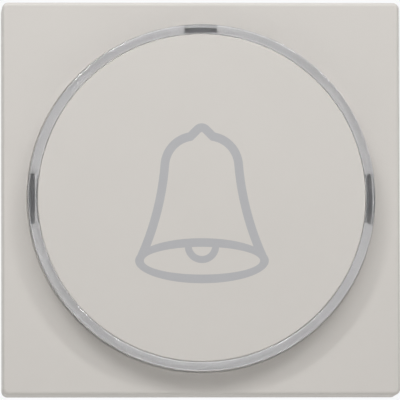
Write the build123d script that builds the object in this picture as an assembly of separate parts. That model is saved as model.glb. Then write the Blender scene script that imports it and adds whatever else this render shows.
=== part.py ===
from build123d import *
import os
from math import atan2, cos, sin, sqrt

# Illuminated doorbell push button of the 45 mm snap-in format, in millimetres.
# A plate, a clear light ring and a round key stand in front of an insert that holds the contact,
# the lamps and the wire terminals.
# The pieces are drawn lying on their back: X to the right, Y up the wall and Z out of the wall, with z = 0 at
# the panel that carries the insert. They are stood up as they are written, so that the key faces -Y.

# Plate
plate_width = 45.0
plate_height = 44.5
skirt_wall = 1.6
plate_corner_radius = 0.7
plate_edge_radius = 0.4
plate_margin = 2.9            # plate left beside the ring, at three and nine o'clock
opening_edge_radius = 0.08
ledge_thickness = 1.0         # wall that the ring stands on
bead_length = 6.0             # snap beads inside the skirt
bead_reach = 0.45
bead_height = 0.8
bead_slope = 0.15             # catching side of a bead
bead_flat = 0.15
bead_lift = 0.15
bead_spacing = 24.0

# Light ring
ring_width = 1.0
ring_proud = 2.0              # crest above the face of the plate
ring_seat_depth = 1.0
ring_crest_radius = 0.2
ring_fit = 0.12               # gap between ring and plate
leg_thickness = 0.45          # middle of a leg, which is flat on its inner side
leg_inset = 0.25              # outer side of a leg from the outer wall of the ring
leg_fit = 0.05                # gap between a leg and its slot in the ledge
leg_drop = 1.3                # leg below the ledge
side_leg_width = 5.6          # legs at three and nine o'clock
top_leg_width = 3.6           # leg at twelve o'clock

# Key and symbol
key_gap = 0.08                # gap between key and ring
key_recess = 0.15             # face of the key below the crest of the ring
key_wall = 1.6
key_skirt_wall = 1.4
key_edge_radius = 0.08
key_travel = 1.5
key_floor_gap = 0.3           # skirt above the lamp board, fully pressed
key_boss_length = 2.7
key_rib_count = 6
key_rib_width = 1.0
key_rib_depth = 1.2
symbol_depth = 0.15
symbol_stroke = 0.98
symbol_crown = (1.28, 6.90)   # line of the right half of the bell, from the middle of the key
symbol_crown_radius = 0.65
symbol_bend = (3.62, 5.38)
symbol_shoulder = (4.15, 3.97)
symbol_waist = (5.03, -1.45)
mouth_half_width = 7.55
mouth_half_height = 2.55
mouth_drop = 7.15             # middle of the mouth below the middle of the key
clapper_radius = 1.95
clapper_stroke = 0.80
clapper_drop = 5.47

# Plunger and return spring
stem_side = 5.0
stem_corner_radius = 0.6
stem_fit = 0.1                # gap on each side of the stem in its guide
socket_fit = 0.05             # gap on each side of the stem in the key
socket_wall = 0.6             # least wall round the stem
seat_gap = 0.05               # gap between faces that press on each other
guide_length = 3.0
guide_wall = 1.5
collar_thickness = 1.2
collar_reach = 1.0
nose_radius = 1.5
nose_length = 3.0
nose_end_radius = 0.7
snap_rib_radius = 0.35
snap_rib_reach = 0.2
snap_rib_length = 3.0
snap_rib_height = 0.9         # above the end of the key's socket
spring_wire = 0.5
spring_coils = 3              # working coils between the closed end coils
spring_end_gap = 0.05         # between an end coil and the next
spring_gap = 0.4              # between coil and socket
spring_pocket_depth = 0.5
spring_pocket_fit = 0.2

# Carrier frame
carrier_thickness = 1.6
carrier_fit = 0.15            # gap between carrier and skirt
carrier_corner_radius = 1.2
land_height = 0.3             # border that lies on the panel, above the recess for the housing
side_land = 1.5
end_land = 2.25
land_corner_radius = 1.0
rim_height = 1.2
rim_wall = 1.0
rim_fit = 0.1
notch_fit = 0.1
peg_radius = 0.9
peg_fit = 0.05
peg_inset = 1.8               # pegs from the inner edge of the board
peg_head = 0.3
peg_angles = (45, 135, 225, 315)

# Lamp board
board_thickness = 1.2
board_width = 7.0
board_margin = 0.3            # between board and carrier edge, at twelve and six o'clock
led_size = (1.0, 2.4, 0.7)    # across the ring, along it and high
led_edge_radius = 0.15
led_gap = 0.2                 # between lamp and leg
chip_inset = 2.1              # middle of the chips from the inner edge of the board
resistor_size = (1.6, 3.2, 0.6)
resistor_angle = 250
rectifier_size = (2.6, 4.3, 1.1)
rectifier_angle = 290
rectifier_draft = 0.3
pin_radius = 0.5
pin_fit = 0.2
pin_head = 0.4                # solder end above the board

# Carrier screws
screw_radius = 1.1
screw_head_radius = 2.2
screw_length = 7.6
screw_fit = 0.05
screw_slot = (0.6, 0.6)       # width and depth
screw_clearance = 0.4         # between screw head and board
boss_wall = 1.45
boss_hole_depth = 8.0

# Housing
side_flange = 1.75            # carrier past the housing at the sides
end_flange = 4.0              # carrier past the housing at top and bottom
housing_wall = 1.5
housing_back = 1.6
housing_corner_radius = 2.0
housing_inner_radius = 0.8
housing_back_chamfer = 0.8
bay_rib_wall = 1.0
bay_rib_height = 6.0
entry_fit = 0.15              # wire entry round the tunnel of its terminal
entry_flare = 1.1
collar_wall = 0.8             # raised edge round a wire entry
collar_height = 0.8
barrier_wall = 1.2            # rib that keeps the two wires apart
barrier_length = 16.0
guide_rib_width = 1.4         # ribs that centre the housing in the panel
guide_rib_reach = 0.2
guide_rib_spacing = 21.0
foot_guide_wall = 0.9         # ribs beside the foot of a catch
foot_guide_reach = 0.6
foot_guide_fit = 0.1
access_fit = 0.4              # round the head of a terminal screw

# Terminals
block_width = 7.0
block_height = 6.5
block_length = 8.0
block_fit = 0.1
block_edge = 0.3
tunnel_radius = 1.6
tunnel_wall = 1.3             # on the inner side of the block
tunnel_depth = 6.5
stub_radius = 1.0             # staked end that holds the strip
stub_fit = 0.05
clamp_screw_radius = 1.25
clamp_screw_fit = 0.05
clamp_screw_depth = 3.4       # axis behind the front of the block
clamp_head_radius = 2.1
clamp_head_height = 1.3
clamp_slot = (0.6, 0.7)

# Contact
strip_thickness = 0.8
strip_width = 6.0
strip_overhang = 2.8          # strip past the inner face of the right block
strip_inset = 0.4             # strip end behind the outer face of a block
strip_bend_gap = 0.3          # bent strip beside its block
leaf_thickness = 0.3
leaf_width = 5.0
leaf_tip_width = 3.6
leaf_end_gap = 0.2
leaf_end = 1.5                # leaf past its contact
contact_reach = 3.5           # contacts left of the plunger's axis
contact_radius = 1.1
contact_height = 0.7
contact_neck_radius = 0.6
contact_head = 0.3
contact_fit = 0.05
contact_gap = 0.15            # left between the contacts at full travel
fixed_contact_radius = 1.3
fixed_contact_height = 0.6
contact_edge = 0.2
contact_dome_radius = 3.0
rivet_radius = 0.7
rivet_head_radius = 1.1
rivet_head_height = 0.5
rivet_fit = 0.05
rivet_inset = 1.4             # rivet from the inner face of the right block

# Panel catches
catch_width = 12.0
catch_thickness = 0.4
catch_foot = 4.5              # flat length on the housing
catch_back = 2.4              # foot in front of the back of the housing
catch_reach = 2.9             # spring past the housing
catch_depth = 3.3             # catching bend behind the face of the panel
catch_nose_depth = 1.6
catch_nose_reach = 0.8
catch_bend_radius = 0.9
stake_radius = 1.15
stake_head_radius = 1.8
stake_head_height = 0.5
stake_fit = 0.05

# Levels along Z, from the panel outwards
board_top = carrier_thickness + board_thickness
led_top = board_top + led_size[2]
leg_end = led_top + led_gap
ledge_bottom = leg_end + leg_drop
ring_seat = ledge_bottom + ledge_thickness
plate_face = ring_seat + ring_seat_depth
ring_crest = plate_face + ring_proud
key_face = ring_crest - key_recess
key_back = key_face - key_wall
key_rim = board_top + key_travel + key_floor_gap
key_boss_end = key_back - key_boss_length

# Levels along Z, from the panel inwards
collar_top = -guide_length - seat_gap
collar_bottom = collar_top - collar_thickness
nose_end = collar_bottom - nose_length
leaf_front = nose_end - seat_gap
strip_front = leaf_front + strip_thickness
housing_floor = leaf_front - block_length
housing_end = housing_floor - housing_back
collar_end = housing_end - collar_height

# Sizes across
hollow_width = plate_width - 2 * skirt_wall
hollow_height = plate_height - 2 * skirt_wall
carrier_width = hollow_width - 2 * carrier_fit
carrier_height = hollow_height - 2 * carrier_fit
ring_radius = plate_width / 2 - plate_margin
ring_inner_radius = ring_radius - ring_width
opening_radius = ring_radius + ring_fit
leg_outer_radius = ring_radius - leg_inset
leg_flat = leg_outer_radius - leg_thickness
key_radius = ring_inner_radius - key_gap
board_radius = carrier_height / 2 - board_margin
board_inner_radius = board_radius - board_width
peg_circle_radius = board_inner_radius + peg_inset
socket_radius = stem_side / sqrt(2) + socket_wall
spring_radius = socket_radius + spring_gap + spring_wire / 2
guide_radius = stem_side / sqrt(2) + guide_wall
screw_offset = board_inner_radius - screw_head_radius - screw_clearance
boss_radius = screw_radius + screw_fit + boss_wall
housing_width = carrier_width - 2 * side_flange
housing_height = carrier_height - 2 * end_flange
block_outer_x = housing_width / 2 - housing_wall - block_fit
block_inner_x = block_outer_x - block_width
tunnel_x = block_inner_x + tunnel_wall + tunnel_radius
pin_x = (tunnel_x + stub_radius + block_outer_x - strip_inset) / 2
leaf_pivot_x = block_inner_x - strip_overhang

# Leaf at full travel, where its contact all but meets the fixed one
leaf_turn = atan2(key_travel, leaf_pivot_x)
contact_drop = (leaf_pivot_x + contact_reach) * sin(leaf_turn)
dome_centre = contact_dome_radius - leaf_thickness - contact_height
contact_stand = contact_dome_radius - dome_centre * cos(leaf_turn)
fixed_contact_top = leaf_front - contact_drop - contact_stand - contact_gap
fixed_strip_front = fixed_contact_top - fixed_contact_height

leg_widths = {0: side_leg_width, 90: top_leg_width, 180: side_leg_width}
overcut = 1.0                 # cutting bodies past an open face


def disc(radius, low, high):
    return Pos(0, 0, low) * Cylinder(radius, high - low, align=(Align.CENTER, Align.CENTER, Align.MIN))


def slab(width, height, radius, low, high):
    return extrude(Pos(0, 0, low) * RectangleRounded(width, height, radius), high - low)


def upright(size, low):
    return Pos(0, 0, low) * Box(*size, align=(Align.CENTER, Align.CENTER, Align.MIN))


def turned(angle):
    return Rot(0, 0, angle)


def bent_strip(points, radius, thickness, width, plane):
    profile = trace(FilletPolyline(*points, radius=radius), thickness)
    return extrude(plane * profile, width / 2, both=True)


def slotted(screw, slot, head_radius, head_top):
    width, depth = slot
    return screw - Pos(0, 0, head_top) * Box(2 * head_radius + overcut, width, 2 * depth)


def bead_places():
    for angle, hollow in ((0, hollow_width), (90, hollow_height), (180, hollow_width), (270, hollow_height)):
        for offset in (-bead_spacing / 2, bead_spacing / 2):
            yield turned(angle) * Pos(hollow / 2, offset, bead_lift)


def snap_bead():
    profile = Polygon(
        (skirt_wall / 2, 0),
        (0, 0),
        (-bead_reach, bead_height - bead_slope - bead_flat),
        (-bead_reach, bead_height - bead_slope),
        (0, bead_height),
        (skirt_wall / 2, bead_height),
        align=None,
    )
    return extrude(Plane.XZ * profile, bead_length / 2, both=True)


def ring_legs(fit, low, high):
    reach = leg_outer_radius + fit
    for angle, width in leg_widths.items():
        tab = Pos(leg_flat - fit + reach / 2, 0) * Rectangle(reach, width + 2 * fit)
        yield turned(angle) * extrude(Pos(0, 0, low) * (tab & Circle(reach)), high - low)


def centre_plate():
    plate = slab(plate_width, plate_height, plate_corner_radius, 0, plate_face)
    plate = fillet(plate.faces().sort_by(Axis.Z)[-1].edges(), plate_edge_radius)
    plate -= slab(hollow_width, hollow_height, plate_corner_radius, -overcut, ledge_bottom)
    plate -= disc(opening_radius, ring_seat, plate_face + overcut)
    plate -= disc(ring_inner_radius, ledge_bottom - overcut, plate_face)
    mouth = plate.edges().filter_by(GeomType.CIRCLE).group_by(Axis.Z)[-1]
    plate = fillet(mouth.sort_by(SortBy.RADIUS)[-1], opening_edge_radius)
    for slot in ring_legs(leg_fit, ledge_bottom - overcut, ring_seat):
        plate -= slot
    for place in bead_places():
        plate += place * snap_bead()
    return plate


def light_ring():
    section = Pos(ring_inner_radius + ring_width / 2, (ring_seat + ring_crest) / 2) * Rectangle(
        ring_width, ring_crest - ring_seat
    )
    section = fillet(section.vertices().group_by(Axis.Y)[-1], ring_crest_radius)
    ring = revolve(Plane.XZ * section, Axis.Z)
    for leg in ring_legs(0, leg_end, ring_seat):
        ring += leg
    return ring


def bell_wall():
    crown_x, crown_y = symbol_crown
    apex = (0, crown_y + crown_x)
    lip = (mouth_half_width - symbol_stroke / 2, -mouth_drop)
    knob = FilletPolyline((-crown_x, crown_y), apex, symbol_crown, radius=symbol_crown_radius)
    shoulder = ThreePointArc(symbol_crown, symbol_bend, symbol_shoulder)
    flank = ThreePointArc(symbol_shoulder, symbol_waist, lip)
    right = trace(shoulder, symbol_stroke) + trace(flank, symbol_stroke)
    for joint in (symbol_crown, symbol_shoulder):
        right += Pos(*joint) * Circle(symbol_stroke / 2)
    return trace(knob, symbol_stroke) + right + mirror(right, about=Plane.YZ)


def bell_sketch():
    middle = Pos(0, -mouth_drop)
    opening = middle * Ellipse(mouth_half_width - symbol_stroke, mouth_half_height - symbol_stroke)
    mouth = middle * Ellipse(mouth_half_width, mouth_half_height) - opening
    clapper = Pos(0, -clapper_drop) * (Circle(clapper_radius) - Circle(clapper_radius - clapper_stroke))
    return bell_wall() - opening + mouth + (clapper & opening)


def bell_symbol():
    return extrude(Pos(0, 0, key_face) * bell_sketch(), -symbol_depth)


def snap_ribs(radius, reach, length):
    height = key_boss_end + snap_rib_height
    rib = Pos(0, stem_side / 2 + radius - reach, height) * Rot(0, 90, 0) * Cylinder(radius, length)
    return rib + mirror(rib, about=Plane.XZ)


def push_key(symbol):
    key = disc(key_radius, key_rim, key_face)
    key = fillet(key.edges().group_by(Axis.Z)[-1], key_edge_radius)
    key -= disc(key_radius - key_skirt_wall, key_rim - overcut, key_back)
    rib_start = spring_radius + spring_wire + spring_gap
    rib_length = key_radius - key_skirt_wall / 2 - rib_start
    rib = Pos(rib_start + rib_length / 2, 0, key_back - key_rib_depth) * Box(
        rib_length, key_rib_width, key_rib_depth, align=(Align.CENTER, Align.CENTER, Align.MIN)
    )
    for index in range(key_rib_count):
        key += turned(360 * (index + 0.5) / key_rib_count) * rib
    socket_side = stem_side + 2 * socket_fit
    socket = disc(socket_radius, key_boss_end, key_back)
    socket -= slab(socket_side, socket_side, stem_corner_radius, key_boss_end - overcut, key_back)
    key += socket
    key += snap_ribs(snap_rib_radius, snap_rib_reach, snap_rib_length)
    return key - symbol


def key_plunger():
    stem = slab(stem_side, stem_side, stem_corner_radius, collar_top, key_back - seat_gap)
    stem -= snap_ribs(snap_rib_radius + socket_fit, snap_rib_reach + socket_fit, stem_side)
    collar = disc(guide_radius - guide_wall + collar_reach, collar_bottom, collar_top)
    nose = disc(nose_radius, nose_end, collar_bottom)
    nose = fillet(nose.edges().group_by(Axis.Z)[0], nose_end_radius)
    return stem + collar + nose


def return_spring():
    low = carrier_thickness - spring_pocket_depth + seat_gap + spring_wire / 2
    high = key_back - seat_gap - spring_wire / 2
    end_rise = spring_wire + spring_end_gap
    coil_rise = (high - low - 2 * end_rise) / spring_coils
    spring = Part()
    side = 1
    for rise in [end_rise] * 2 + [coil_rise] * 2 * spring_coils + [end_rise] * 2:
        spring += half_turn(low, rise / 2, side)
        low += rise / 2
        side = -side
    return spring


def half_turn(low, rise, side):
    start = Vector(side * spring_radius, 0, low)
    middle = Vector(0, 0, low + rise / 2)
    heading = Vector(0, side, 0)
    section = Plane(start, z_dir=heading) * Circle(spring_wire / 2)
    return revolve(section, Axis(middle, (start - middle).cross(heading)), 180)


def screw_places():
    return [Pos(0, offset, 0) for offset in (-screw_offset, screw_offset)]


def countersink(gap):
    depth = screw_head_radius - screw_radius
    return Pos(0, 0, carrier_thickness - depth) * Cone(
        screw_radius + gap, screw_head_radius + gap, depth, align=(Align.CENTER, Align.CENTER, Align.MIN)
    )


def carrier_frame():
    rim_width = housing_width - 2 * (housing_wall + rim_fit)
    rim_length = housing_height - 2 * (housing_wall + rim_fit)
    rim_radius = housing_inner_radius
    frame = slab(carrier_width, carrier_height, carrier_corner_radius, 0, carrier_thickness)
    recess_width = carrier_width - 2 * side_land
    recess_height = carrier_height - 2 * end_land
    frame -= slab(recess_width, recess_height, land_corner_radius, -overcut, land_height)
    rim = slab(rim_width, rim_length, rim_radius, -rim_height, land_height)
    rim -= slab(rim_width - 2 * rim_wall, rim_length - 2 * rim_wall, rim_radius / 2, -rim_height, land_height)
    frame += rim
    frame += disc(guide_radius, -guide_length, land_height)
    for angle in peg_angles:
        frame += turned(angle) * Pos(peg_circle_radius, 0, 0) * disc(peg_radius, 0, board_top + peg_head)
    guide_side = stem_side + 2 * stem_fit
    frame -= slab(guide_side, guide_side, stem_corner_radius, -guide_length, carrier_thickness)
    pocket_inside = spring_radius - spring_wire / 2 - spring_pocket_fit
    pocket_outside = spring_radius + spring_wire / 2 + spring_pocket_fit
    pocket = disc(pocket_outside, carrier_thickness - spring_pocket_depth, carrier_thickness)
    frame -= pocket - disc(pocket_inside, 0, carrier_thickness)
    for place in screw_places():
        frame -= place * disc(screw_radius + screw_fit, 0, carrier_thickness)
        frame -= place * countersink(screw_fit)
    for x in (-pin_x, pin_x):
        frame -= Pos(x, 0, 0) * disc(pin_radius + pin_fit, 0, carrier_thickness)
    notch_size = (
        2 * (bead_reach + notch_fit),
        bead_length + 2 * notch_fit,
        bead_lift + bead_height + notch_fit,
    )
    for place in bead_places():
        frame -= place * Pos(0, 0, -bead_lift) * upright(notch_size, 0)
    return frame


def carrier_screws():
    screw = disc(screw_radius, carrier_thickness - screw_length, carrier_thickness) + countersink(0)
    screw = slotted(screw, screw_slot, screw_head_radius, carrier_thickness)
    return [place * screw for place in screw_places()]


def insert_housing():
    inner_width = housing_width - 2 * housing_wall
    inner_height = housing_height - 2 * housing_wall
    shell = slab(housing_width, housing_height, housing_corner_radius, housing_end, land_height)
    shell = chamfer(shell.faces().sort_by(Axis.Z)[0].edges(), housing_back_chamfer)
    shell -= slab(inner_width, inner_height, housing_inner_radius, housing_floor, overcut)
    shell += upright((barrier_wall, barrier_length, collar_height), collar_end)
    for place in screw_places():
        shell += place * disc(boss_radius, housing_floor, land_height)
        shell -= place * disc(screw_radius + screw_fit, -boss_hole_depth, overcut)
    rib_offset = block_height / 2 + block_fit + bay_rib_wall / 2
    rib_length = inner_width / 2 - block_inner_x
    for side in (-1, 1):
        for offset in (-rib_offset, rib_offset):
            shell += Pos(side * (block_inner_x + rib_length / 2), offset, 0) * upright(
                (rib_length, bay_rib_wall, bay_rib_height), housing_floor
            )
        shell += Pos(side * tunnel_x, 0, 0) * entry_collar()
        shell -= Pos(side * tunnel_x, 0, 0) * entry_funnel()
        access = Rot(0, 90, 0) * Cylinder(clamp_head_radius + access_fit, 2 * (housing_wall + block_fit))
        shell -= Pos(side * housing_width / 2, 0, leaf_front - clamp_screw_depth) * access
        shell += catch_stake(side) + foot_guides(side)
        for offset in (-guide_rib_spacing / 2, guide_rib_spacing / 2):
            shell += Pos(side * housing_width / 2, offset, 0) * guide_rib()
    return shell


def entry_collar():
    return disc(tunnel_radius + entry_fit + entry_flare + collar_wall, collar_end, housing_end)


def entry_funnel():
    narrow = tunnel_radius + entry_fit
    depth = housing_floor - collar_end
    return Pos(0, 0, collar_end + depth / 2) * Cone(narrow + entry_flare, narrow, depth)


def guide_rib():
    length = -housing_end - housing_back_chamfer
    return upright((2 * guide_rib_reach, guide_rib_width, length), housing_end + housing_back_chamfer)


def foot_guides(side):
    offset = (catch_width + foot_guide_wall) / 2 + foot_guide_fit
    size = (foot_guide_wall, 2 * foot_guide_reach, catch_foot)
    guide = Pos(offset, side * housing_height / 2, 0) * upright(size, housing_end + catch_back)
    return guide + mirror(guide, about=Plane.YZ)


def catch_stake(side):
    height = catch_thickness + stake_fit
    stake = disc(stake_radius, -overcut / 2, height)
    stake += disc(stake_head_radius, height, height + stake_head_height)
    return catch_foot_place(side) * stake


def catch_foot_place(side):
    middle = housing_end + catch_back + catch_foot / 2
    return Pos(0, side * housing_height / 2, middle) * Rot(-90 * side, 0, 0)


def catch_spring(side):
    wall = housing_height / 2
    lie = wall + catch_thickness / 2 + stake_fit / 2
    foot_end = housing_end + catch_back
    points = [
        (lie, foot_end),
        (lie, foot_end + catch_foot),
        (wall + catch_reach, -catch_depth),
        (wall + catch_nose_reach, -catch_nose_depth),
    ]
    spring = bent_strip(points, catch_bend_radius, catch_thickness, catch_width, Plane.YZ)
    if side < 0:
        spring = mirror(spring, about=Plane.XZ)
    hole = catch_foot_place(side) * disc(stake_radius + stake_fit, -overcut / 2, overcut)
    return spring - hole


def clamp_axis(side):
    return Pos(side * block_outer_x, 0, leaf_front - clamp_screw_depth) * Rot(0, 90 * side, 0)


def terminal_block(side):
    size = (block_width, block_height, block_length)
    block = Pos(side * (block_inner_x + block_width / 2), 0, 0) * upright(size, housing_floor)
    block = chamfer(block.edges().filter_by(Axis.Z), block_edge)
    tunnel = disc(tunnel_radius, housing_floor - overcut, housing_floor + tunnel_depth)
    block -= Pos(side * tunnel_x, 0, 0) * tunnel
    thread_length = block_outer_x - tunnel_x
    block -= clamp_axis(side) * disc(clamp_screw_radius + clamp_screw_fit, -thread_length, overcut)
    return block + Pos(side * tunnel_x, 0, 0) * disc(stub_radius, leaf_front, strip_front)


def terminal_screw(side):
    tip = block_outer_x - tunnel_x - tunnel_radius
    head_top = block_fit + clamp_head_height
    screw = disc(clamp_screw_radius, -tip, block_fit) + disc(clamp_head_radius, block_fit, head_top)
    return clamp_axis(side) * slotted(screw, clamp_slot, clamp_head_radius, head_top)


def stub_hole(side):
    hole = disc(stub_radius + stub_fit, leaf_front - overcut, strip_front + overcut)
    return Pos(side * tunnel_x, 0, 0) * hole


def rivet_axis():
    return Pos(block_inner_x - rivet_inset, 0, 0)


def fixed_contact_strip():
    outer = block_outer_x - strip_inset
    bend = block_inner_x - strip_bend_gap - strip_thickness / 2
    upper = leaf_front + strip_thickness / 2
    lower = fixed_strip_front - strip_thickness / 2
    end = contact_reach - fixed_contact_radius - contact_edge
    points = [(-outer, upper), (-bend, upper), (-bend, lower), (-end, lower)]
    bend_radius = strip_bend_gap + strip_thickness / 2
    strip = bent_strip(points, bend_radius, strip_thickness, strip_width, Plane.XZ)
    return strip - stub_hole(-1)


def moving_contact_strip():
    outer = block_outer_x - strip_inset
    length = outer - leaf_pivot_x
    strip = slab(length, strip_width, block_edge, leaf_front, strip_front)
    strip = Pos(leaf_pivot_x + length / 2, 0, 0) * strip - stub_hole(1)
    return strip - rivet_axis() * disc(rivet_radius + rivet_fit, leaf_front - overcut, strip_front + overcut)


def contact_leaf():
    root = block_inner_x - leaf_end_gap
    tip = -contact_reach - leaf_end
    outline = Polygon(
        (root, -leaf_width / 2),
        (root, leaf_width / 2),
        (leaf_pivot_x, leaf_width / 2),
        (tip, leaf_tip_width / 2),
        (tip, -leaf_tip_width / 2),
        (leaf_pivot_x, -leaf_width / 2),
        align=None,
    )
    outline = fillet(outline.vertices().group_by(Axis.X)[0], leaf_end / 2)
    leaf = extrude(Pos(0, 0, leaf_front) * outline, -leaf_thickness)
    low = leaf_front - overcut
    high = leaf_front + overcut
    leaf -= rivet_axis() * disc(rivet_radius + rivet_fit, low, high)
    return leaf - Pos(-contact_reach, 0, 0) * disc(contact_neck_radius + contact_fit, low, high)


def leaf_rivet():
    leaf_back = leaf_front - leaf_thickness
    rivet = disc(rivet_radius, leaf_back, strip_front)
    rivet += disc(rivet_head_radius, strip_front, strip_front + rivet_head_height)
    rivet += disc(rivet_head_radius, leaf_back - rivet_head_height, leaf_back)
    return rivet_axis() * rivet


def moving_contact_tip():
    leaf_back = leaf_front - leaf_thickness
    contact = disc(contact_radius, leaf_back - contact_height, leaf_back)
    contact &= Pos(0, 0, leaf_front + dome_centre) * Sphere(contact_dome_radius)
    contact += disc(contact_neck_radius, leaf_back, leaf_front)
    contact += disc(contact_radius, leaf_front, leaf_front + contact_head)
    return Pos(-contact_reach, 0, 0) * contact


def fixed_contact_tip():
    contact = disc(fixed_contact_radius, fixed_strip_front, fixed_contact_top)
    contact = chamfer(contact.edges().group_by(Axis.Z)[-1], contact_edge)
    return Pos(-contact_reach, 0, 0) * contact


def lamp_board():
    board = disc(board_radius, carrier_thickness, board_top)
    board -= disc(board_inner_radius, carrier_thickness, board_top)
    for angle in peg_angles:
        peg = Pos(peg_circle_radius, 0, 0) * disc(peg_radius + peg_fit, carrier_thickness, board_top)
        board -= turned(angle) * peg
    for x in (-pin_x, pin_x):
        board -= Pos(x, 0, 0) * disc(pin_radius + peg_fit, carrier_thickness, board_top)
    return board


def lamp_leds():
    led = upright(led_size, board_top)
    led = fillet(led.edges().group_by(Axis.Z)[-1], led_edge_radius)
    circle = (leg_flat + leg_outer_radius) / 2
    return [turned(angle) * Pos(circle, 0, 0) * led for angle in leg_widths]


def chip_place(angle):
    return turned(angle) * Pos(board_inner_radius + chip_inset, 0, 0)


def lamp_resistor():
    return chip_place(resistor_angle) * upright(resistor_size, board_top)


def lamp_rectifier():
    body = upright(rectifier_size, board_top)
    body = chamfer(body.edges().group_by(Axis.Z)[-1], rectifier_draft)
    return chip_place(rectifier_angle) * body


def lamp_pins():
    pin = disc(pin_radius, strip_front, board_top + pin_head)
    return [Pos(x, 0, 0) * pin for x in (-pin_x, pin_x)]


def write(name, shape):
    solids = shape if isinstance(shape, list) else [shape]
    standing = [Rot(90, 0, 0) * solid for solid in solids]
    export_step(standing[0] if len(standing) == 1 else Compound(standing), f"parts/{name}.step")


def main():
    os.makedirs("parts", exist_ok=True)
    symbol = bell_symbol()
    write("centre_plate", centre_plate())
    write("light_ring", light_ring())
    write("push_key", push_key(symbol))
    write("bell_symbol", symbol)
    write("key_plunger", key_plunger())
    write("return_spring", return_spring())
    write("carrier_frame", carrier_frame())
    write("carrier_screws", carrier_screws())
    write("insert_housing", insert_housing())
    write("lamp_board", lamp_board())
    write("lamp_leds", lamp_leds())
    write("lamp_resistor", lamp_resistor())
    write("lamp_rectifier", lamp_rectifier())
    write("lamp_pins", lamp_pins())
    write("fixed_contact_strip", fixed_contact_strip())
    write("moving_contact_strip", moving_contact_strip())
    write("contact_leaf", contact_leaf())
    write("leaf_rivet", leaf_rivet())
    write("moving_contact_tip", moving_contact_tip())
    write("fixed_contact_tip", fixed_contact_tip())
    for side, word in ((-1, "left"), (1, "right")):
        write(f"terminal_block_{word}", terminal_block(side))
        write(f"terminal_screw_{word}", terminal_screw(side))
    write("catch_spring_top", catch_spring(1))
    write("catch_spring_bottom", catch_spring(-1))


main()
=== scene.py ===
import math

import bmesh
import bpy
from mathutils import Matrix, Vector


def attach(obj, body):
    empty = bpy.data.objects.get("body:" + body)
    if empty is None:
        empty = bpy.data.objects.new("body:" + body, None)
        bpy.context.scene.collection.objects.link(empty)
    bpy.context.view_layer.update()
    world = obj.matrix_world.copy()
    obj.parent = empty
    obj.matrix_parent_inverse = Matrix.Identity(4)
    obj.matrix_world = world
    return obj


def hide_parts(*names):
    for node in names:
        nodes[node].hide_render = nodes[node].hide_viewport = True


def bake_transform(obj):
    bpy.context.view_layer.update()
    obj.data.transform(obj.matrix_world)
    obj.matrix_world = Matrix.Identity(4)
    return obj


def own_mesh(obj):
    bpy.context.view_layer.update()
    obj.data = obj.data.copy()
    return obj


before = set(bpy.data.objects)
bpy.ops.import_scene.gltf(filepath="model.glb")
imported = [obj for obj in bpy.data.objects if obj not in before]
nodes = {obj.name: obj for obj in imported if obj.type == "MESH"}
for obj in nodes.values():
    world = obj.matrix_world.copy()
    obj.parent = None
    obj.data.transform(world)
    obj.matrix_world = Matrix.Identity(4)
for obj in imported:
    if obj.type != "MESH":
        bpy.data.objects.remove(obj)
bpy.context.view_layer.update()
scene = bpy.context.scene
mm = 0.001  # sizes below are in mm, the frame is in metres


def addNode(tree, kind, settings=None, links=None):
    node = tree.nodes.new(kind)
    for key, value in (settings or {}).items():
        if isinstance(key, int) or key in node.inputs:
            node.inputs[key].default_value = value
        else:
            setattr(node, key, value)
    for key, source in (links or {}).items():
        tree.links.new(source, node.inputs[key])
    return node


def calc(tree, operation, first, second=0.0):  # a Math node on sockets or numbers
    node = addNode(tree, "ShaderNodeMath", {"operation": operation})
    for i, value in enumerate((first, second)):
        if isinstance(value, bpy.types.NodeSocket):
            tree.links.new(value, node.inputs[i])
        else:
            node.inputs[i].default_value = value
    return node.outputs[0]


def spread(tree, value, low, high, start=0.0, end=1.0):  # start to end becomes low to high
    return addNode(tree, "ShaderNodeMapRange", {
        "From Min": start, "From Max": end, "To Min": low, "To Max": high,
    }, {"Value": value}).outputs["Result"]


def linear(hexColour):  # sRGB hex to the linear colour that a socket takes
    parts = [int(hexColour[i:i + 2], 16) / 255 for i in (1, 3, 5)]
    return [p / 12.92 if p <= 0.04045 else ((p + 0.055) / 1.055) ** 2.4 for p in parts] + [1.0]


def perMm(size):  # texture scale whose features are that many mm across
    return 1 / (size * mm)


def startMaterial(name, shader):
    material = bpy.data.materials.new(name)
    material.use_nodes = True
    tree = material.node_tree
    tree.nodes.clear()
    surface = addNode(tree, "ShaderNodeBsdfPrincipled", shader)
    addNode(tree, "ShaderNodeOutputMaterial", links={"Surface": surface.outputs["BSDF"]})
    place = addNode(tree, "ShaderNodeTexCoord").outputs["Object"]
    return material, tree, surface, place


def noise(tree, size, place, detail=2.0):
    texture = addNode(tree, "ShaderNodeTexNoise", {"Scale": perMm(size), "Detail": detail}, {"Vector": place})
    return texture.outputs["Fac"]


def blended(tree, share, first, second):  # from the first colour to the second
    node = addNode(tree, "ShaderNodeMix", {"data_type": "RGBA"}, {0: share})
    for i, colour in ((6, first), (7, second)):
        if isinstance(colour, bpy.types.NodeSocket):
            tree.links.new(colour, node.inputs[i])
        else:
            node.inputs[i].default_value = linear(colour)
    return node.outputs[2]


def drift(tree, look, place):  # the slow change of tone over a piece
    return blended(tree, noise(tree, look["patch"], place, 3.0), *look["tones"])


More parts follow.
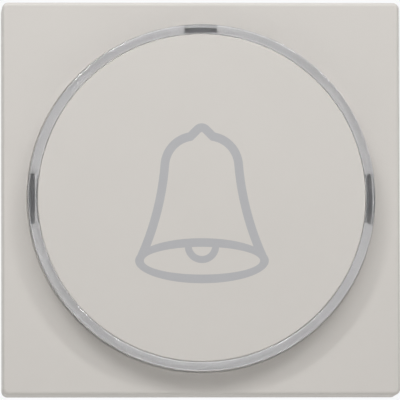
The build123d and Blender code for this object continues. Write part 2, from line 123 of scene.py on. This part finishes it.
# Moulded plastics: an even body colour that drifts a little, and an eroded grain that breaks the gloss.
# The real grit is near 0.05 mm and would not show, so the grain is drawn four times as coarse.
plateAbs = {  # warm light grey with a soft sheen
    "tones": ("#CECAC5", "#D1CDC8"), "patch": 9.0,
    "grain": 0.20, "depth": 0.006, "gloss": (0.44, 0.54), "ior": 1.53,
}
plateLedge = {"tone": "#F3F2EF", "radius": 19.8, "top": 6.1}  # white under the ring, to throw light forward
symbolInk = {  # cool grey, duller than the plate
    "tones": ("#AFAFB2", "#B3B3B5"), "patch": 1.6,
    "grain": 0.25, "depth": 0.004, "gloss": (0.48, 0.60), "ior": 1.50,
}
plungerAcetal = {  # milky white and slippery
    "tones": ("#E2DFD8", "#E8E6E0"), "patch": 5.0,
    "grain": 0.30, "depth": 0.004, "gloss": (0.28, 0.36), "ior": 1.48,
}
carrierPolycarbonate = {  # plain mid grey
    "tones": ("#ABABA9", "#B2B2B0"), "patch": 7.0,
    "grain": 0.22, "depth": 0.008, "gloss": (0.40, 0.52), "ior": 1.58,
}
housingPolyamide = {  # dark grey, uneven from its glass fibres
    "tones": ("#46484B", "#4E5054"), "patch": 3.5,
    "grain": 0.28, "depth": 0.014, "gloss": (0.42, 0.60), "ior": 1.53,
}
chipEpoxy = {  # matt black
    "tones": ("#232326", "#2A2A2E"), "patch": 1.0,
    "grain": 0.16, "depth": 0.008, "gloss": (0.50, 0.66), "ior": 1.55,
}
lampEpoxy = {  # smoke grey and glossy
    "tones": ("#66666C", "#6E6E74"), "patch": 0.8,
    "grain": 0.40, "depth": 0.001, "gloss": (0.10, 0.20), "ior": 1.51,
}
lampPaintedFade = {"tone": "#B0B0B4", "reach": (0.8, 2.9)}  # painted shade: the smoked resin is drawn darkest at the middle and paler towards each lamp's ends, so the dark stripes seen through the ring's legs fade softly
boardMask = {  # cool white with a faint gloss
    "tones": ("#D5D5D0", "#DCDCD8"), "patch": 2.4,
    "grain": 0.45, "depth": 0.005, "gloss": (0.30, 0.42), "ior": 1.55,
}


def radiusFrom(tree, place):  # distance from the axis of the key
    flat = addNode(tree, "ShaderNodeVectorMath", {"operation": "MULTIPLY", 1: (1, 0, 1)}, {0: place})
    length = addNode(tree, "ShaderNodeVectorMath", {"operation": "LENGTH"}, {0: flat.outputs["Vector"]})
    return length.outputs["Value"]


def heightOf(tree, place):  # height above the panel
    spot = addNode(tree, "ShaderNodeSeparateXYZ", links={"Vector": place})
    return calc(tree, "MULTIPLY", spot.outputs["Y"], -1.0)


def onLedge(tree, place, look):
    inside = calc(tree, "LESS_THAN", radiusFrom(tree, place), look["radius"] * mm)
    low = calc(tree, "LESS_THAN", heightOf(tree, place), look["top"] * mm)
    return calc(tree, "MULTIPLY", inside, low)


def paintedFadeAlongLamp(tree, place, look):  # share of the painted shade fade along a lamp: each lamp stands on one axis, so the lesser of x and z runs along it
    spot = addNode(tree, "ShaderNodeSeparateXYZ", links={"Vector": place}).outputs
    off = calc(tree, "MINIMUM", *[calc(tree, "ABSOLUTE", spot[axis]) for axis in "XZ"])
    return spread(tree, off, 0.0, 1.0, *[reach * mm for reach in look["reach"]])


def mouldedPlastic(name, look, second=None, where=None):
    material, tree, surface, place = startMaterial(name, {"IOR": look["ior"]})
    tone = drift(tree, look, place)
    if second:
        tone = blended(tree, where(tree, place, second), tone, second["tone"])
    grain = noise(tree, look["grain"], place)
    bump = addNode(tree, "ShaderNodeBump", {"Distance": look["depth"] * mm}, {"Height": grain})
    tree.links.new(tone, surface.inputs["Base Color"])
    tree.links.new(spread(tree, grain, *look["gloss"]), surface.inputs["Roughness"])
    tree.links.new(bump.outputs["Normal"], surface.inputs["Normal"])
    return material


# Clear acrylic with a hard coat: the crest and the walls above the plate are polished and take the
# glints, and below the plate the walls and the seat are eroded in the mould, so that the light spreads
ringAcrylic = {
    "tint": "#F9F9FB", "clear": 0.92, "ior": 1.49, "coat": 1.50,
    "haze": 2.5, "polished": (0.02, 0.05), "eroded": 0.30, "change": (6.8, 7.2),
}


def clearPlastic(name, look):
    material, tree, surface, place = startMaterial(name, {
        "Base Color": linear(look["tint"]), "Transmission Weight": look["clear"], "IOR": look["ior"],
        "Coat Weight": 1.0, "Coat IOR": look["coat"],
    })
    polished = spread(tree, noise(tree, look["haze"], place), *look["polished"])
    low, high = [level * mm for level in look["change"]]
    height = spread(tree, heightOf(tree, place), 0.0, 1.0, low, high)
    shine = addNode(tree, "ShaderNodeMix", {2: look["eroded"]}, {0: height, 3: polished})
    tree.links.new(shine.outputs[0], surface.inputs["Roughness"])
    return material


# Metals: drawing or rolling lines along one axis, which streak the highlights, and a thin uneven tarnish
lineDepth = 0.003
bladeSteel = {"tones": ("#B5B5BA", "#CDCDD1"), "patch": 2.5, "line": (12, 12, 0.12), "gloss": (0.22, 0.36)}
screwZinc = {"tones": ("#BFC1C2", "#D6D8DA"), "patch": 0.9, "line": (0.3, 0.3, 0.3), "gloss": (0.28, 0.44)}
blockBrass = {"tones": ("#C9A564", "#E0C083"), "patch": 1.8, "line": (0.15, 6.0, 6.0), "gloss": (0.22, 0.38)}
leafBronze = {"tones": ("#BE9069", "#D6AC84"), "patch": 2.2, "line": (6.0, 6.0, 0.12), "gloss": (0.22, 0.36)}
tipSilver = {"tones": ("#DAD8D3", "#EFEEEB"), "patch": 0.6, "line": (0.25, 0.25, 0.25), "gloss": (0.14, 0.26)}
pinTin = {"tones": ("#C8C8C5", "#DCDCDA"), "patch": 0.5, "line": (0.2, 3.0, 0.2), "gloss": (0.20, 0.32)}


def workedMetal(name, look):
    material, tree, surface, place = startMaterial(name, {"Metallic": 1.0})
    scale = [1 / size for size in look["line"]]
    along = addNode(tree, "ShaderNodeMapping", {"Scale": scale}, {"Vector": place})
    lines = noise(tree, 1.0, along.outputs["Vector"])
    bump = addNode(tree, "ShaderNodeBump", {"Distance": lineDepth * mm}, {"Height": lines})
    tone = drift(tree, look, place)
    tree.links.new(tone, surface.inputs["Base Color"])
    tree.links.new(spread(tree, lines, *look["gloss"]), surface.inputs["Roughness"])
    tree.links.new(bump.outputs["Normal"], surface.inputs["Normal"])
    return material


finishes = {
    "plate_plastic": mouldedPlastic("mouldedAbs", plateAbs, plateLedge, onLedge),
    "clear_plastic": clearPlastic("clearAcrylic", ringAcrylic),
    "symbol_print": mouldedPlastic("padPrintInk", symbolInk),
    "guide_plastic": mouldedPlastic("naturalAcetal", plungerAcetal),
    "carrier_plastic": mouldedPlastic("greyPolycarbonate", carrierPolycarbonate),
    "housing_plastic": mouldedPlastic("glassFilledPolyamide", housingPolyamide),
    "spring_steel": workedMetal("springSteel", bladeSteel),
    "zinc_steel": workedMetal("zincPlatedSteel", screwZinc),
    "brass": workedMetal("drawnBrass", blockBrass),
    "bronze": workedMetal("rolledBronze", leafBronze),
    "contact_silver": workedMetal("contactSilver", tipSilver),
    "board_laminate": mouldedPlastic("whiteSolderMask", boardMask),
    # smoked lamps with painted shade: darkest at the middle, paler towards their ends
    "led_resin": mouldedPlastic("smokedEpoxy", lampEpoxy, lampPaintedFade, paintedFadeAlongLamp),
    "chip_resin": mouldedPlastic("blackEpoxy", chipEpoxy),
    "tinned_pin": workedMetal("tinnedCopper", pinTin),
}
for node in nodes.values():
    for materialSlot in node.material_slots:
        materialSlot.material = finishes[materialSlot.material.name.split(".")[0]]
print("finishes on", len(nodes), "nodes")


def finishPiece(piece, body, slot, *replaced):
    if body:
        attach(piece, body)
    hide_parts(*replaced)


sharpFrom = {"built": 35, "grown": 40}  # degrees


def smooth(mesh, kind):
    mesh.shade_smooth()
    mesh.set_sharp_from_angle(angle=math.radians(sharpFrom[kind]))


def meshPiece(name, shell, slot):
    bmesh.ops.recalc_face_normals(shell, faces=shell.faces)
    mesh = bpy.data.meshes.new(name)
    shell.to_mesh(mesh)
    shell.free()
    smooth(mesh, "built")
    mesh.materials.append(finishes[slot])
    piece = bpy.data.objects.new(name, mesh)
    scene.collection.objects.link(piece)
    return piece


# Light ring: a clear ring with three flat-backed legs that drop through the ledge to the lamps.
# It stands a hair off the ledge, so that light passes from one to the other.
lightRing = {
    "inner": 18.56, "outer": 19.63, "seat": 6.02, "crest": 9.0, "crestRadius": 0.20, "roundSteps": 6,
    "legFlat": 18.90, "legOuter": 19.35, "legEnd": 3.70,
    "legs": ((0, 5.6), (90, 3.6), (180, 5.6)),  # degrees from three o'clock, width
    "steps": 360,
}


def turned(radius, angle, height):  # point on a turned piece, in the part's frame
    return Vector((radius * math.cos(angle), -height, radius * math.sin(angle))) * mm


def crestLine(look):
    r = look["crestRadius"]
    for middle, start in ((look["inner"] + r, 180), (look["outer"] - r, 90)):
        for i in range(look["roundSteps"] + 1):
            angle = math.radians(start - 90 * i / look["roundSteps"])
            yield middle + r * math.cos(angle), look["crest"] - r + r * math.sin(angle)


def ringAngles(look):  # even steps, with each leg's two ends among them
    step = 2 * math.pi / look["steps"]
    legs = []
    for degrees, width in look["legs"]:
        half = math.asin(width / 2 / look["legOuter"])
        legs.append((math.radians(degrees) - half, math.radians(degrees) + half))
    ends = [end for leg in legs for end in leg]
    even = [i * step - math.pi / 2 for i in range(look["steps"])]
    kept = [a for a in even if min(abs(a - end) for end in ends) > step / 3]
    return sorted(kept + ends), legs


def makeLightRing(look):
    angles, legs = ringAngles(look)
    seat = look["seat"]
    shell = bmesh.new()
    columns, tabs = [], []
    for angle in angles:
        leg = next(((start + end) / 2 for start, end in legs if start - 1e-6 < angle < end + 1e-6), None)
        flat = look["legFlat"] if leg is None else look["legFlat"] / math.cos(angle - leg)
        line = [(look["inner"], seat), *crestLine(look)]
        line += [(radius, seat) for radius in (look["outer"], look["legOuter"], flat)]
        columns.append([shell.verts.new(turned(r, angle, z)) for r, z in line])
        ends = [(look["legOuter"], look["legEnd"]), (flat, look["legEnd"])]
        tabs.append(None if leg is None else [shell.verts.new(turned(r, angle, z)) for r, z in ends])
    for i, column in enumerate(columns):
        j = (i + 1) % len(columns)
        inLeg = tabs[i] and tabs[j] and angles[j] - angles[i] < math.radians(3)
        for k in range(len(column)):
            if inLeg and k == len(column) - 2:
                continue  # the leg goes on from here
            n = (k + 1) % len(column)
            shell.faces.new((column[k], column[n], columns[j][n], columns[j][k]))
        if inLeg:
            here = [column[-2], *tabs[i], column[-1]]
            there = [columns[j][-2], *tabs[j], columns[j][-1]]
            for k in range(3):
                shell.faces.new((here[k], here[k + 1], there[k + 1], there[k]))
            if not tabs[i - 1]:
                shell.faces.new(here)
            if not tabs[(j + 1) % len(columns)]:
                shell.faces.new(there)
    return meshPiece("lightRing", shell, "clear_plastic")


finishPiece(makeLightRing(lightRing), "insert", "clear_plastic", "light_ring")
print("light ring done")


def startTree(name, sizes, directions=()):  # node tree that works in mm, with a named input for each size
    tree = bpy.data.node_groups.new(name, "GeometryNodeTree")
    for size in sizes:
        tree.interface.new_socket(size, in_out="INPUT", socket_type="NodeSocketFloat")
    for direction in directions:
        tree.interface.new_socket(direction, in_out="INPUT", socket_type="NodeSocketVector")
    tree.interface.new_socket("Geometry", in_out="OUTPUT", socket_type="NodeSocketGeometry")
    return tree, addNode(tree, "NodeGroupInput").outputs


def endTree(tree, geometry, slot):
    whole = addNode(tree, "GeometryNodeRealizeInstances", links={"Geometry": geometry})
    metres = addNode(tree, "GeometryNodeTransform", {"Scale": (mm, mm, mm)}, {"Geometry": whole.outputs[0]})
    dressed = addNode(tree, "GeometryNodeSetMaterial", {"Material": finishes[slot]}, {
        "Geometry": metres.outputs[0],
    })
    addNode(tree, "NodeGroupOutput", links={"Geometry": dressed.outputs[0]})
    return tree


def spun(tree, radius, turn):  # the two parts of a radius at that many turns
    angle = calc(tree, "MULTIPLY", turn, 2 * math.pi)
    return [calc(tree, "MULTIPLY", radius, calc(tree, part, angle)) for part in ("COSINE", "SINE")]


def growPiece(name, tree, sizes):
    piece = bpy.data.objects.new(name, bpy.data.meshes.new(name))
    scene.collection.objects.link(piece)
    modifier = piece.modifiers.new("grow", "NODES")
    modifier.node_group = tree
    for item in tree.interface.items_tree:
        if item.in_out == "INPUT":
            modifier[item.identifier] = sizes[item.name]
    mesh = bpy.data.meshes.new_from_object(piece.evaluated_get(bpy.context.evaluated_depsgraph_get()))
    piece.modifiers.remove(modifier)
    piece.data = mesh
    smooth(mesh, "grown")
    return piece


# Return spring: round wire with a closed turn at each end
returnSpring = {"wire": 0.50, "radius": 4.786, "low": 1.40, "endRise": 0.55, "coilRise": 1.483, "coils": 3.0}
springSteps = {"along": 301, "around": 16}


def coilTree():
    tree, size = startTree("coiledWire", returnSpring)
    line = addNode(tree, "GeometryNodeCurvePrimitiveLine")
    points = addNode(tree, "GeometryNodeResampleCurve", {"Count": springSteps["along"]}, {
        "Curve": line.outputs["Curve"],
    })
    along = addNode(tree, "GeometryNodeSplineParameter").outputs["Factor"]
    turn = calc(tree, "MULTIPLY", along, calc(tree, "ADD", size["coils"], 2.0))
    lastTurn = calc(tree, "SUBTRACT", turn, calc(tree, "ADD", size["coils"], 1.0))
    closed = calc(tree, "ADD", calc(tree, "MINIMUM", turn, 1.0), calc(tree, "MAXIMUM", lastTurn))
    rise = calc(tree, "MULTIPLY", calc(tree, "SUBTRACT", turn, closed), size["coilRise"])
    climb = calc(tree, "ADD", rise, calc(tree, "MULTIPLY", closed, size["endRise"]))
    height = calc(tree, "ADD", climb, size["low"])
    across, up = spun(tree, size["radius"], turn)
    place = addNode(tree, "ShaderNodeCombineXYZ", links={
        "X": across, "Y": calc(tree, "MULTIPLY", height, -1.0), "Z": up,
    })
    coil = addNode(tree, "GeometryNodeSetPosition", links={
        "Geometry": points.outputs["Curve"], "Position": place.outputs["Vector"],
    })
    section = addNode(tree, "GeometryNodeCurvePrimitiveCircle", {"Resolution": springSteps["around"]}, {
        "Radius": calc(tree, "MULTIPLY", size["wire"], 0.5),
    })
    wire = addNode(tree, "GeometryNodeCurveToMesh", {"Fill Caps": True}, {
        "Curve": coil.outputs["Geometry"], "Profile Curve": section.outputs["Curve"],
    })
    return endTree(tree, wire.outputs["Mesh"], "spring_steel")


spring = growPiece("returnSpring", coilTree(), returnSpring)
finishPiece(spring, "insert", "spring_steel", "return_spring")
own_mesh(spring)
print("return spring done")

# Slotted screws: a profile turned round its axis, a thread cut below the head, and a slot.
# Two stand on each line from first on, turned to heading, or outwards where outward is set.
carrierScrews = {
    "headRadius": 2.20, "neckRadius": 1.12, "headHeight": 1.10,
    "shankRadius": 1.10, "length": 7.60, "edge": 0.08,
    "pitch": 0.80, "thread": 0.22, "slotWidth": 0.60, "slotDepth": 0.60,
    "first": (0, -1.60, -10.60), "step": (0, 0, 21.20), "heading": (0, -1, 0), "outward": (0, 0, 0),
}
terminalScrews = {
    "headRadius": 2.10, "neckRadius": 2.10, "headHeight": 1.30,
    "shankRadius": 1.25, "length": 3.90, "edge": 0.20,
    "pitch": 0.50, "thread": 0.16, "slotWidth": 0.60, "slotDepth": 0.70,
    "first": (-18.80, 10.70, 0), "step": (37.60, 0, 0), "heading": (0, 0, 0), "outward": (1, 0, 0),
}
screwSizes = [name for name, value in carrierScrews.items() if isinstance(value, float)]
screwDirections = [name for name, value in carrierScrews.items() if isinstance(value, tuple)]
screwSteps = {"around": 49, "along": 160, "corner": 4}
threadStart = (0.1, 0.5)  # the thread runs out between these depths below the head


def screwProfile(tree, size):  # half of the outline, with the radius along x and the depth along y
    corners = [
        (0.0, 0.0), (size["headRadius"], 0.0), (size["neckRadius"], size["headHeight"]),
        (size["shankRadius"], size["headHeight"]), (size["shankRadius"], size["length"]),
        (0.0, size["length"]),
    ]
    line = addNode(tree, "GeometryNodeCurvePrimitiveLine")
    points = addNode(tree, "GeometryNodeResampleCurve", {"Count": len(corners)}, {
        "Curve": line.outputs["Curve"],
    })
    chosen = addNode(tree, "GeometryNodeIndexSwitch", {"data_type": "VECTOR"}, {
        "Index": addNode(tree, "GeometryNodeInputIndex").outputs["Index"],
    })
    for i, corner in enumerate(corners):
        if i > 1:
            chosen.index_switch_items.new()
        place = addNode(tree, "ShaderNodeCombineXYZ")
        for axis, value in zip("XY", corner):
            if value:
                tree.links.new(value, place.inputs[axis])
        tree.links.new(place.outputs["Vector"], chosen.inputs[i + 1])
    outline = addNode(tree, "GeometryNodeSetPosition", links={
        "Geometry": points.outputs["Curve"], "Position": chosen.outputs["Output"],
    })
    rounding = {"mode": "POLY", "Count": screwSteps["corner"], "Limit Radius": True}
    return addNode(tree, "GeometryNodeFilletCurve", rounding, {
        "Curve": outline.outputs["Geometry"], "Radius": size["edge"],
    }).outputs["Curve"]


def screwBody(tree, size):  # a grid rolled up round the profile, with the thread pressed into it
    grid = addNode(tree, "GeometryNodeMeshGrid", {
        "Size X": 1.0, "Size Y": 1.0, "Vertices X": screwSteps["around"], "Vertices Y": screwSteps["along"],
    })
    spot = addNode(tree, "ShaderNodeSeparateXYZ", links={
        "Vector": addNode(tree, "GeometryNodeInputPosition").outputs["Position"],
    })
    turn = calc(tree, "ADD", spot.outputs["X"], 0.5)
    sample = addNode(tree, "GeometryNodeSampleCurve", {"mode": "FACTOR"}, {
        "Curves": screwProfile(tree, size), "Factor": calc(tree, "ADD", spot.outputs["Y"], 0.5),
    })
    profile = addNode(tree, "ShaderNodeSeparateXYZ", links={"Vector": sample.outputs["Position"]})
    depth = profile.outputs["Y"]
    start = addNode(tree, "ShaderNodeMapRange", links={
        "Value": depth, "From Min": calc(tree, "ADD", size["headHeight"], threadStart[0]),
        "From Max": calc(tree, "ADD", size["headHeight"], threadStart[1]),
    })
    helix = calc(tree, "FRACT", calc(tree, "ADD", calc(tree, "DIVIDE", depth, size["pitch"]), turn))
    flank = calc(tree, "ABSOLUTE", calc(tree, "SUBTRACT", calc(tree, "MULTIPLY", helix, 2.0), 1.0))
    cut = calc(tree, "MULTIPLY", calc(tree, "MULTIPLY", flank, start.outputs["Result"]), size["thread"])
    share = calc(tree, "SUBTRACT", 1.0, calc(tree, "DIVIDE", cut, size["shankRadius"]))
    across, up = spun(tree, calc(tree, "MULTIPLY", profile.outputs["X"], share), turn)
    place = addNode(tree, "ShaderNodeCombineXYZ", links={
        "X": across, "Y": up, "Z": calc(tree, "MULTIPLY", depth, -1.0),
    })
    rolled = addNode(tree, "GeometryNodeSetPosition", links={
        "Geometry": grid.outputs["Mesh"], "Position": place.outputs["Vector"],
    })
    closed = addNode(tree, "GeometryNodeMergeByDistance", {"Distance": 0.001}, {
        "Geometry": rolled.outputs["Geometry"],
    })
    return addNode(tree, "GeometryNodeFlipFaces", links={"Mesh": closed.outputs["Geometry"]}).outputs["Mesh"]


def screwTree():
    tree, size = startTree("slottedScrew", screwSizes, screwDirections)
    slot = addNode(tree, "GeometryNodeMeshCube", links={
        "Size": addNode(tree, "ShaderNodeCombineXYZ", links={
            "X": calc(tree, "MULTIPLY", size["headRadius"], 3.0), "Y": size["slotWidth"],
            "Z": calc(tree, "MULTIPLY", size["slotDepth"], 2.0),
        }).outputs["Vector"],
    })
    screw = addNode(tree, "GeometryNodeMeshBoolean", {"operation": "DIFFERENCE"}, {
        "Mesh 1": screwBody(tree, size), "Mesh 2": slot.outputs["Mesh"],
    })
    line = addNode(tree, "GeometryNodeMeshLine", {"Count": 2}, {
        "Start Location": size["first"], "Offset": size["step"],
    })
    facing = addNode(tree, "ShaderNodeVectorMath", {"operation": "MULTIPLY_ADD"}, {
        0: addNode(tree, "GeometryNodeInputPosition").outputs["Position"],
        1: size["outward"], 2: size["heading"],
    })
    aligned = addNode(tree, "FunctionNodeAlignRotationToVector", {"axis": "Z"}, {
        "Vector": facing.outputs["Vector"],
    })
    pair = addNode(tree, "GeometryNodeInstanceOnPoints", links={
        "Points": line.outputs["Mesh"], "Instance": screw.outputs["Mesh"],
        "Rotation": aligned.outputs["Rotation"],
    })
    return endTree(tree, pair.outputs["Instances"], "zinc_steel")


slottedScrew = screwTree()
finishPiece(growPiece("carrierScrews", slottedScrew, carrierScrews), "insert", "zinc_steel", "carrier_screws")
finishPiece(
    growPiece("terminalScrews", slottedScrew, terminalScrews),
    "insert", "zinc_steel", "terminal_screw_left", "terminal_screw_right",
)
print("screws done")

# Contact leaf: a rolled strip with broken edges that narrows towards its contact and ends in a rounded tip.
# A shallow dip across it clears the flat end of the plunger when the leaf is pressed over.
contactLeaf = {
    "root": 10.20, "taper": 7.60, "tip": -5.00, "width": 5.00, "tipWidth": 3.60, "tipRadius": 0.75,
    "front": -7.30, "thickness": 0.30, "edge": 0.05, "steps": 64, "tipSteps": 8,
    "dipPlace": 0.80, "dipReach": 2.00, "dipDepth": 0.16,
}


def leafStations(look):  # places along the leaf and how far its rounded tip is drawn in there
    tip, r = look["tip"], look["tipRadius"]
    for i in range(look["steps"]):
        yield look["root"] + (tip + r - look["root"]) * i / look["steps"], 0
    for i in range(look["tipSteps"] + 1):
        angle = math.pi / 2 * i / look["tipSteps"]
        yield tip + r - r * math.sin(angle), r - r * math.cos(angle)


def leafHalfWidth(look, x):
    share = min(max((look["taper"] - x) / (look["taper"] - look["tip"]), 0), 1)
    return (look["width"] * (1 - share) + look["tipWidth"] * share) / 2


def leafDip(look, x):
    share = min(abs(x - look["dipPlace"]) / look["dipReach"], 1)
    return look["dipDepth"] * (1 + math.cos(math.pi * share)) / 2


def makeContactLeaf(look):
    shell = bmesh.new()
    edge = look["edge"]
    sections = []
    for x, inset in leafStations(look):
        half = leafHalfWidth(look, x) - inset
        high = look["front"] - leafDip(look, x)
        low = high - look["thickness"]
        right = [(half - edge, low), (half, low + edge), (half, high - edge), (half - edge, high)]
        line = right + [(-across, level) for across, level in reversed(right)]
        sections.append([shell.verts.new(Vector((x, -level, across)) * mm) for across, level in line])
    for here, there in zip(sections, sections[1:]):
        for k in range(len(here)):
            n = (k + 1) % len(here)
            shell.faces.new((here[k], here[n], there[n], there[k]))
    shell.faces.new(sections[0])
    shell.faces.new(sections[-1])
    return meshPiece("contactLeaf", shell, "bronze")


leaf = makeContactLeaf(contactLeaf)
finishPiece(leaf, None, "bronze", "contact_leaf")
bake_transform(leaf)
print("contact leaf done")

# Camera, set by the outline of the plate in the photograph
cameraLook = {
    "aim": (-0.131, -7.0, -0.168), "left": 2.40, "below": 3.52, "roll": -0.137,  # mm and degrees
    "distance": 1000.0, "pixelsPerMm": 8.837, "imageWidth": 400, "sensor": 36.0, "clip": (0.01, 20),
}


def makeCamera(look):
    left, below = math.radians(look["left"]), math.radians(look["below"])
    back = Vector((-math.sin(left) * math.cos(below), -math.cos(left) * math.cos(below), -math.sin(below)))
    lens = bpy.data.cameras.new("camera")
    lens.sensor_width = look["sensor"]
    lens.lens = look["sensor"] * look["distance"] * look["pixelsPerMm"] / look["imageWidth"]
    lens.clip_start, lens.clip_end = look["clip"]
    camera = bpy.data.objects.new("camera", lens)
    place = Matrix.Translation((Vector(look["aim"]) + back * look["distance"]) * mm)
    turn = (-back).to_track_quat("-Z", "Y").to_matrix().to_4x4()
    camera.matrix_world = place @ turn @ Matrix.Rotation(math.radians(look["roll"]), 4, "Z")
    scene.collection.objects.link(camera)
    scene.camera = camera


makeCamera(cameraLook)

# Studio: two softboxes above and in front, two strip lamps each side for the glints on the ring, a little
# fill from the left, a pale floor, and a sky that is white behind the part
lamps = {
    "softbox": {"place": (0.0, -0.30, 0.24), "size": (0.33, 0.30), "power": 0.375},
    "upperBox": {"place": (0.0, -0.20, 0.23), "size": (0.30, 0.20), "power": 0.30},
    "leftFill": {"place": (-0.30, -0.03, 0.0), "size": (0.20, 0.20), "power": 0.045},
    "leftStrip": {"place": (-0.132, -0.229, 0.300), "size": (0.04, 0.03), "power": 0.185},
    "farLeftStrip": {"place": (-0.207, -0.229, 0.254), "size": (0.04, 0.03), "power": 0.185},
    "rightStrip": {"place": (0.166, -0.229, 0.283), "size": (0.04, 0.03), "power": 0.16},
    "farRightStrip": {"place": (0.228, -0.229, 0.235), "size": (0.04, 0.03), "power": 0.16},
}
studio = {
    "floor": -0.15, "reach": 9.0, "paper": "#F4F3F1", "matt": 0.9,
    "sky": "#F9FAFB", "dim": 0.10, "bright": 1.0, "turn": (-0.25, 0.60),
}


def makeLamp(name, look):
    lamp = bpy.data.lights.new(name, "AREA")
    lamp.shape = "RECTANGLE"
    lamp.size, lamp.size_y = look["size"]
    lamp.energy = look["power"]
    light = bpy.data.objects.new(name, lamp)
    light.location = look["place"]
    light.rotation_euler = (-Vector(look["place"])).to_track_quat("-Z", "Y").to_euler()
    scene.collection.objects.link(light)


def makeFloor(look):
    reach = look["reach"]
    mesh = bpy.data.meshes.new("floor")
    mesh.from_pydata([(x, y, look["floor"]) for x, y in (
        (-reach, -reach), (reach, -reach), (reach, reach), (-reach, reach),
    )], [], [range(4)])
    paper = startMaterial("paleFloor", {"Base Color": linear(look["paper"]), "Roughness": look["matt"]})[0]
    mesh.materials.append(paper)
    floor = bpy.data.objects.new("floor", mesh)
    scene.collection.objects.link(floor)


def makeSky(look):  # dim in front and bright behind, like a lit wall that turns white at the back
    world = bpy.data.worlds.new("studio")
    world.use_nodes = True
    tree = world.node_tree
    sky = tree.nodes["Background"]
    sky.inputs["Color"].default_value = linear(look["sky"])
    heading = addNode(tree, "ShaderNodeSeparateXYZ", links={
        "Vector": addNode(tree, "ShaderNodeTexCoord").outputs["Generated"],
    })
    strength = spread(tree, heading.outputs["Y"], look["dim"], look["bright"], *look["turn"])
    tree.links.new(strength, sky.inputs["Strength"])
    scene.world = world


for lampName, lampLook in lamps.items():
    makeLamp(lampName, lampLook)
makeFloor(studio)
makeSky(studio)
scene.view_settings.view_transform = "Standard"
scene.cycles.max_bounces = 32  # light runs up and down inside the ring many times
scene.cycles.glossy_bounces = 24
scene.cycles.transmission_bounces = 24
scene.cycles.blur_glossy = 0.0
print("studio done")
